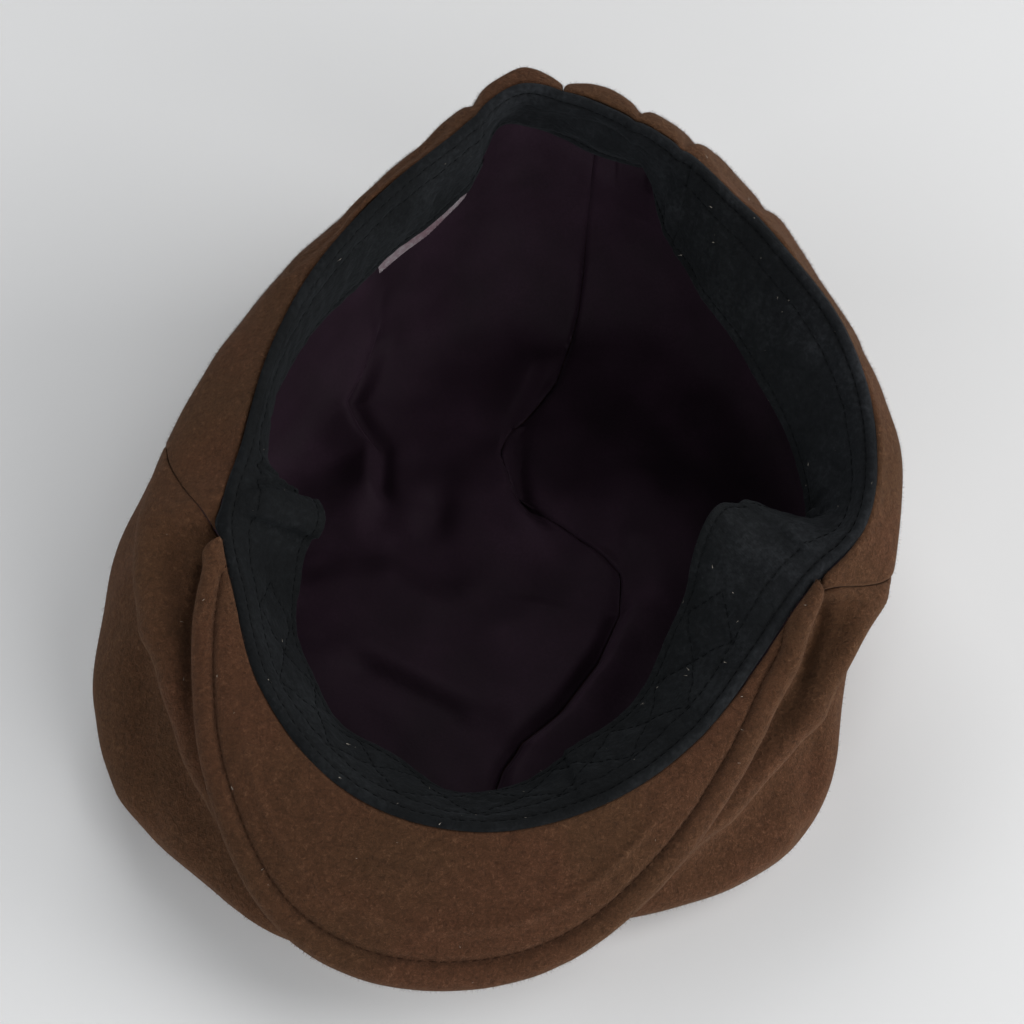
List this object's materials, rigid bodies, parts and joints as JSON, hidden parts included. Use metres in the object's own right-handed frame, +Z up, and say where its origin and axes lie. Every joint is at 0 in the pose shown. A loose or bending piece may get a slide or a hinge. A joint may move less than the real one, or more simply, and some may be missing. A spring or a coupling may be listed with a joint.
{
  "type": "flat cap",
  "caption": "Soft wool flat cap lying upside down on its full crown, with a covered peak, black sweatband and dark lining.",
  "frame": {"origin": "on the ground under the middle of the cap's box", "axes": "+Z up, -Y towards the peak, +X to the right of someone who looks from the peak to the back"},
  "size_m": [0.2144, 0.256, 0.1051],
  "materials": {
    "wool": "brushed brown wool melton with a short nap",
    "band": "black cotton twill",
    "lining": "dark aubergine lining with a faint sheen",
    "label": "blank pale woven tape"
  },
  "bodies": {
    "root": {"crown_top": "wool", "side_panel_right": "wool", "side_panel_left": "wool", "peak": "wool", "lining_right": "lining", "lining_left": "lining", "sweatband": "band", "elastic_band": "band", "label": "label"}
  },
  "joints": []
}
